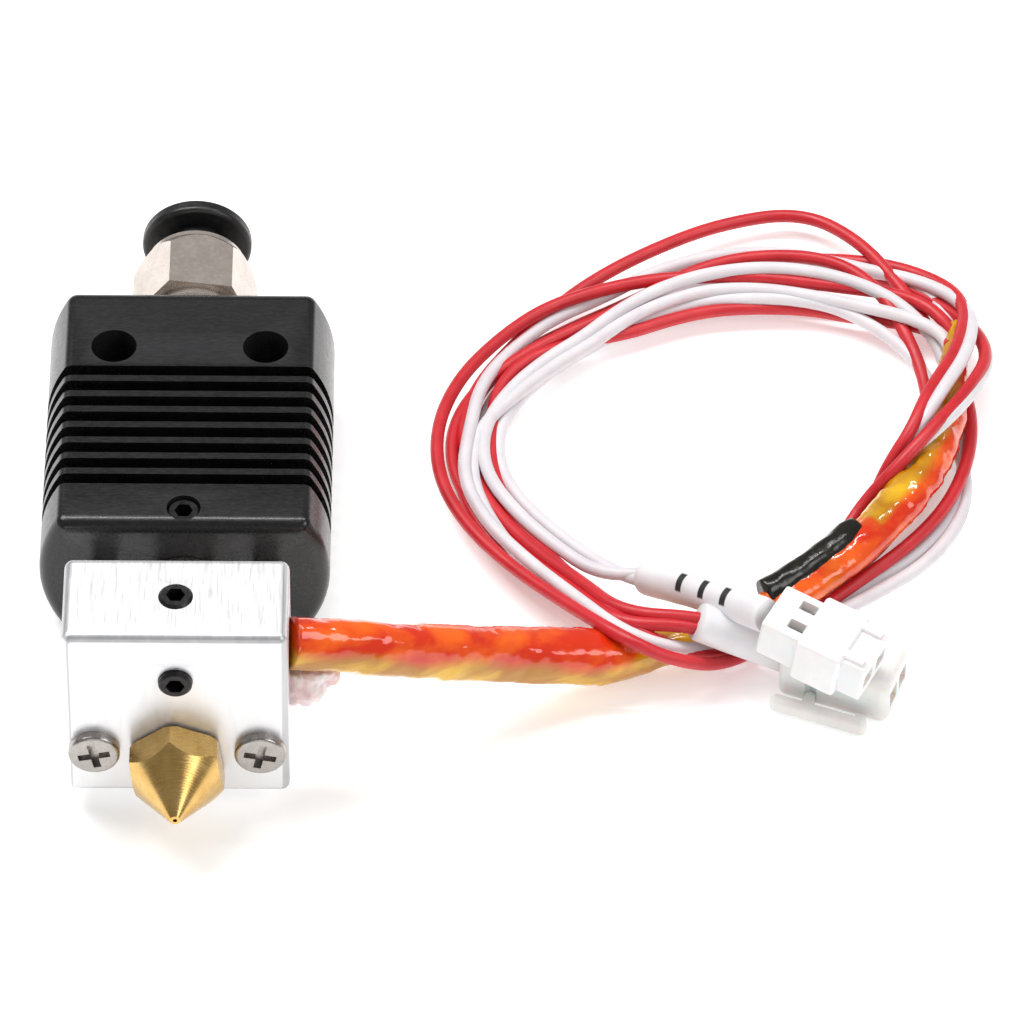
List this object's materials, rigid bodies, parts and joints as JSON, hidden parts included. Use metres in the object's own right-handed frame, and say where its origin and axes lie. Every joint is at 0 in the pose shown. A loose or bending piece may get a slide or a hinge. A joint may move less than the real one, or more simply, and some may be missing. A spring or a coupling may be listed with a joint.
{
  "type": "3d printer hotend assembly",
  "caption": "Hotend with a grooved flat-sided heat sink, push-in tube fitting, heater block, brass nozzle and wired plugs lying in a loose coil.",
  "frame": {"origin": "centre of the two mounting holes, on the heat sink's back flat", "axes": "+X across the flats, +Y along the filament from the nozzle to the fitting, +Z out of the front flat; it lies on its back flat"},
  "size_m": [0.0892, 0.0828, 0.0226],
  "materials": {
    "black_anodised": "satin, black anodised",
    "aluminium": "satin, finely brushed",
    "nickel": "nickel plated, satin",
    "brass": "turned and polished",
    "steel": "machined, slightly bright",
    "black_oxide": "black oxide",
    "contact_metal": "tinned, bright",
    "glass": "clear bead",
    "ptfe": "smooth, waxy",
    "seal_rubber": "smooth",
    "black_plastic": "moulded, slightly glossy",
    "amber_tape": "glossy film over red leads",
    "black_sleeve": "shrunk on, satin",
    "glass_fibre": "soft fibre",
    "wire_insulation": "smooth silicone, red and white",
    "white_sleeve": "shrunk on, satin",
    "natural_nylon": "moulded, slightly clear",
    "white_plastic": "moulded"
  },
  "bodies": {
    "hotend": {"heat_sink": "black_anodised", "heat_sink_set_screw": "black_oxide", "heat_break": "steel", "ptfe_liner": "ptfe", "heater_block": "aluminium", "block_set_screws": "black_oxide", "block_screws": "steel", "nozzle": "brass", "heater_cartridge": "steel", "thermistor_bead": "glass", "fitting_body": "nickel", "fitting_seal": "seal_rubber", "fitting_grip_ring": "steel", "fitting_retainer": "nickel", "lead_bundle": "amber_tape", "bundle_sleeve": "black_sleeve", "thermistor_tail": "glass_fibre", "wire_coil": "wire_insulation", "thermistor_sleeve": "white_sleeve", "heater_sleeve": "white_sleeve", "heater_plug_housing": "natural_nylon", "heater_plug_contacts": "contact_metal", "thermistor_plug_housing": "white_plastic", "thermistor_plug_contacts": "contact_metal"},
    "collar": {"release_collar": "black_plastic"},
    "latch": {"heater_plug_latch": "natural_nylon"}
  },
  "joints": [
    {"name": "collar_slide", "type": "slide", "parent": "hotend", "child": "collar", "axis": [0, -1, 0], "range_m": [0, 0.0012], "stiffness_N_per_m": 300},
    {"name": "latch_rock", "type": "hinge", "parent": "hotend", "child": "latch", "pos_m": [0.05697, -0.03188, 0.00095], "axis": [0, 0, -1], "range_deg": [0, 10], "stiffness_Nm_per_rad": 0.01}
  ]
}
